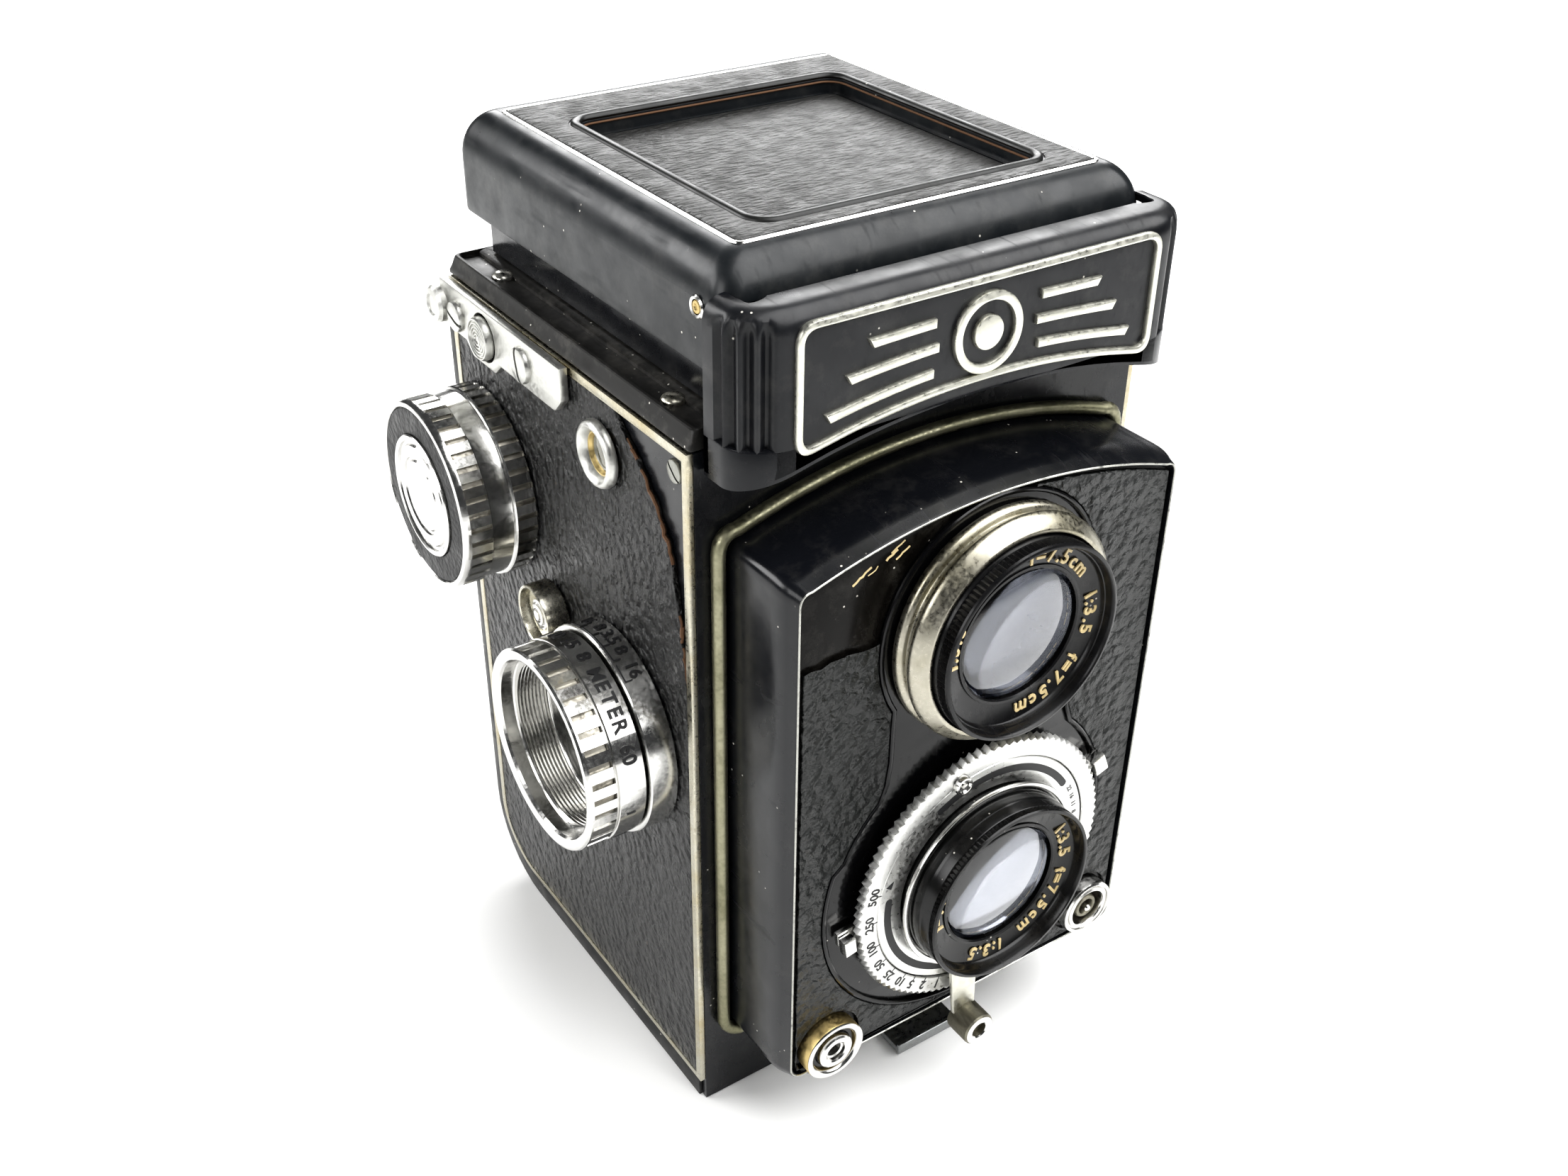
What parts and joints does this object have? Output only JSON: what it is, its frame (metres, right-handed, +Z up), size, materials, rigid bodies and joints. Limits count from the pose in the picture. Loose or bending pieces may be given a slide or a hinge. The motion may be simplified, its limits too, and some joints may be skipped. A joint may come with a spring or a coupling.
{
  "type": "twin lens reflex camera",
  "caption": "Box-shaped roll-film camera with a viewing lens above a taking lens on a racking front, folding waist-level hood, side knobs and a hinged back.",
  "frame": {"origin": "on the base plate, under the middle of the body's width and depth", "axes": "+Z up, lenses face -Y, winding and focusing knobs on the -X side"},
  "size_m": [0.0967, 0.1016, 0.142],
  "materials": {
    "black_enamel": "satin black enamel, worn to metal on its edges",
    "standard_enamel": "semi-gloss black enamel",
    "lens_black": "black anodised, rims brassed",
    "leatherette": "pebbled black covering, dusty",
    "chrome": "bright, grime in the grooves",
    "bright_plate": "bright plate, yellowed edges",
    "champagne_metal": "aged satin nickel, champagne tone",
    "dull_metal": "dull bare metal",
    "dial_enamel": "aged cream",
    "lens_glass": "coated glass",
    "silvered_glass": "front-silvered mirror"
  },
  "bodies": {
    "camera_body": {"body_shell": "black_enamel", "side_leather_left": "leatherette", "side_leather_right": "leatherette", "top_flange": "black_enamel", "focusing_screen": "lens_glass", "reflex_mirror": "silvered_glass", "film_gate": "dull_metal", "guide_frame": "champagne_metal", "lug_plate_left": "bright_plate", "lug_plate_right": "bright_plate", "lug_stud": "chrome", "counter_bezel": "chrome", "counter_glass": "lens_glass", "release_collar": "chrome", "focus_scale_ring": "chrome", "back_hinge_leaf": "black_enamel", "hood_base": "black_enamel", "lid_hinge_pin_left": "champagne_metal", "lid_hinge_pin_right": "champagne_metal", "nameplate": "black_enamel"},
    "front_standard": {"standard_shell": "standard_enamel", "eight_plate": "standard_enamel", "standard_leather": "leatherette", "viewing_mount_ring": "champagne_metal", "viewing_lens_barrel": "lens_black", "viewing_lens_glass": "lens_glass", "shutter_housing": "lens_black", "shutter_face": "chrome", "taking_lens_barrel": "lens_black", "taking_lens_glass": "lens_glass", "shutter_release_collar": "chrome", "flash_socket": "chrome"},
    "focus_knob": {"focus_knob": "chrome"},
    "speed_ring": {"speed_ring": "chrome"},
    "aperture_lever": {"aperture_lever": "chrome"},
    "cocking_lever": {"cocking_lever": "champagne_metal"},
    "shutter_button": {"shutter_release_button": "chrome"},
    "wind_knob": {"wind_knob": "chrome", "wind_knob_leather": "leatherette", "wind_knob_cap": "chrome"},
    "takeup_spool": {"takeup_spool": "dull_metal"},
    "supply_spool": {"supply_spool": "dull_metal"},
    "counter_dial": {"counter_dial": "dial_enamel"},
    "film_release_button": {"film_release_button": "chrome"},
    "counter_reset_button": {"counter_reset_button": "chrome"},
    "upper_spool_knob": {"upper_spool_knob": "chrome"},
    "lower_spool_knob": {"lower_spool_knob": "chrome"},
    "back": {"back_door": "black_enamel", "back_leather": "leatherette", "tripod_bush": "chrome"},
    "back_lock": {"back_lock_ring": "chrome"},
    "pressure_plate": {"pressure_plate": "black_enamel"},
    "front_catch": {"front_catch": "dull_metal"},
    "hood_lid": {"lid_shell": "black_enamel"},
    "sports_flap": {"sports_finder_flap": "leatherette"},
    "hood_wall_left": {"hood_wall_left": "black_enamel"},
    "hood_wall_right": {"hood_wall_right": "black_enamel"},
    "hood_wall_rear": {"hood_wall_rear": "black_enamel"},
    "magnifier": {"magnifier_arm": "black_enamel", "magnifier_lens": "lens_glass"}
  },
  "joints": [
    {"name": "standard_slide", "type": "slide", "parent": "camera_body", "child": "front_standard", "axis": [0, -1, 0], "range_m": [-0.007, 0.001]},
    {"name": "focus_turn", "type": "hinge", "parent": "camera_body", "child": "focus_knob", "pos_m": [0, -0.0154, 0.0645], "axis": [1, 0, 0], "range_deg": [-225, 40]},
    {"name": "speed_turn", "type": "hinge", "parent": "front_standard", "child": "speed_ring", "pos_m": [0, 0, 0.0451], "axis": [0, 1, 0], "range_deg": [0, 200]},
    {"name": "aperture_turn", "type": "hinge", "parent": "front_standard", "child": "aperture_lever", "pos_m": [0, 0, 0.0451], "axis": [0, -1, 0], "range_deg": [-50, 38]},
    {"name": "cocking_turn", "type": "hinge", "parent": "front_standard", "child": "cocking_lever", "pos_m": [0, 0, 0.0451], "axis": [0, -1, 0], "range_deg": [0, 40], "stiffness_Nm_per_rad": 0.03, "springref_deg": -17.19},
    {"name": "shutter_press", "type": "slide", "parent": "front_standard", "child": "shutter_button", "axis": [0, 1, 0], "range_m": [0, 0.002], "stiffness_N_per_m": 400, "springref_m": -0.001},
    {"name": "wind_turn", "type": "hinge", "parent": "camera_body", "child": "wind_knob", "pos_m": [0, 0.0238, 0.0877], "axis": [-1, 0, 0], "continuous": true},
    {"name": "takeup_turn", "type": "hinge", "parent": "camera_body", "child": "takeup_spool", "pos_m": [0, 0.0238, 0.0877], "axis": [-1, 0, 0], "continuous": true},
    {"name": "supply_turn", "type": "hinge", "parent": "camera_body", "child": "supply_spool", "pos_m": [0, -0.011, 0.0165], "axis": [-1, 0, 0], "continuous": true},
    {"name": "counter_turn", "type": "hinge", "parent": "camera_body", "child": "counter_dial", "pos_m": [0, -0.013, 0.1025], "axis": [-1, 0, 0], "continuous": true},
    {"name": "film_release_press", "type": "slide", "parent": "camera_body", "child": "film_release_button", "axis": [1, 0, 0], "range_m": [0, 0.0016], "stiffness_N_per_m": 400, "springref_m": -0.001},
    {"name": "counter_reset_press", "type": "slide", "parent": "camera_body", "child": "counter_reset_button", "axis": [1, 0, 0], "range_m": [0, 0.001], "stiffness_N_per_m": 400, "springref_m": -0.001},
    {"name": "upper_spool_pull", "type": "slide", "parent": "camera_body", "child": "upper_spool_knob", "axis": [1, 0, 0], "range_m": [0, 0.0045], "stiffness_N_per_m": 500, "springref_m": -0.002},
    {"name": "lower_spool_pull", "type": "slide", "parent": "camera_body", "child": "lower_spool_knob", "axis": [1, 0, 0], "range_m": [0, 0.0045], "stiffness_N_per_m": 500, "springref_m": -0.002},
    {"name": "back_open", "type": "hinge", "parent": "camera_body", "child": "back", "pos_m": [0, 0.0389, 0.1115], "axis": [1, 0, 0], "range_deg": [0, 115]},
    {"name": "back_lock_turn", "type": "hinge", "parent": "back", "child": "back_lock", "pos_m": [0, -0.015, 0], "axis": [0, 0, 1], "range_deg": [0, 60]},
    {"name": "pressure_plate_push", "type": "slide", "parent": "back", "child": "pressure_plate", "axis": [0, 1, 0], "range_m": [0, 0.0015], "stiffness_N_per_m": 400, "springref_m": -0.001},
    {"name": "catch_turn", "type": "hinge", "parent": "camera_body", "child": "front_catch", "pos_m": [0, -0.0372, 0.0017], "axis": [1, 0, 0], "range_deg": [0, 70]},
    {"name": "lid_open", "type": "hinge", "parent": "camera_body", "child": "hood_lid", "pos_m": [0, -0.032, 0.135], "axis": [1, 0, 0], "range_deg": [0, 90]},
    {"name": "rear_wall_fold", "type": "hinge", "parent": "camera_body", "child": "hood_wall_rear", "pos_m": [0, 0.031, 0.1275], "axis": [-1, 0, 0], "range_deg": [0, 90]},
    {"name": "left_wall_fold", "type": "hinge", "parent": "camera_body", "child": "hood_wall_left", "pos_m": [-0.0288, 0, 0.1224], "axis": [0, -1, 0], "range_deg": [0, 90]},
    {"name": "right_wall_fold", "type": "hinge", "parent": "camera_body", "child": "hood_wall_right", "pos_m": [0.0288, 0, 0.1224], "axis": [0, 1, 0], "range_deg": [0, 90]},
    {"name": "magnifier_swing", "type": "hinge", "parent": "hood_lid", "child": "magnifier", "pos_m": [0, -0.0024, 0.1334], "axis": [-1, 0, 0], "range_deg": [0, 90]},
    {"name": "sports_flap_push", "type": "hinge", "parent": "hood_lid", "child": "sports_flap", "pos_m": [0, -0.0268, 0.139], "axis": [-1, 0, 0], "range_deg": [0, 4], "stiffness_Nm_per_rad": 0.05, "springref_deg": -17.19}
  ],
  "couplings": [
    {"joint": "focus_turn", "follows": "standard_slide", "rad_per_m": 545.42},
    {"joint": "takeup_turn", "follows": "wind_turn", "ratio": 1},
    {"joint": "counter_turn", "follows": "wind_turn", "ratio": 0.1},
    {"joint": "rear_wall_fold", "follows": "lid_open", "ratio": 1},
    {"joint": "left_wall_fold", "follows": "lid_open", "ratio": 1},
    {"joint": "right_wall_fold", "follows": "lid_open", "ratio": 1},
    {"joint": "magnifier_swing", "follows": "lid_open", "ratio": 1}
  ]
}
